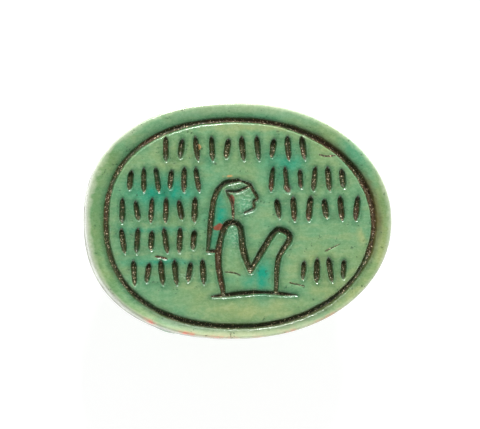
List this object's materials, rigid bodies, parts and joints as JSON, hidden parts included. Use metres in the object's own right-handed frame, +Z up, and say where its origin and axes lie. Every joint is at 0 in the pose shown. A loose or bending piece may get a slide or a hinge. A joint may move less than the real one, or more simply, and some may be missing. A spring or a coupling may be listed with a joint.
{
  "type": "scarab amulet",
  "caption": "Oval stone amulet carved as a beetle, glazed green, with a flat engraved seal face and a lengthwise thread hole; it lies on the beetle's back.",
  "frame": {"origin": "centre of the bounding box in plan, at the worn flat on the beetle's back, on which the amulet lies", "axes": "+Z up, out of the flat seal face; +X along the length, from the beetle's head to its tail; +Y across, towards the top of the seal design"},
  "size_m": [0.018, 0.0138, 0.008],
  "materials": {
    "glazed_steatite": "satin"
  },
  "bodies": {
    "root": {"scarab": "glazed_steatite"}
  },
  "joints": []
}
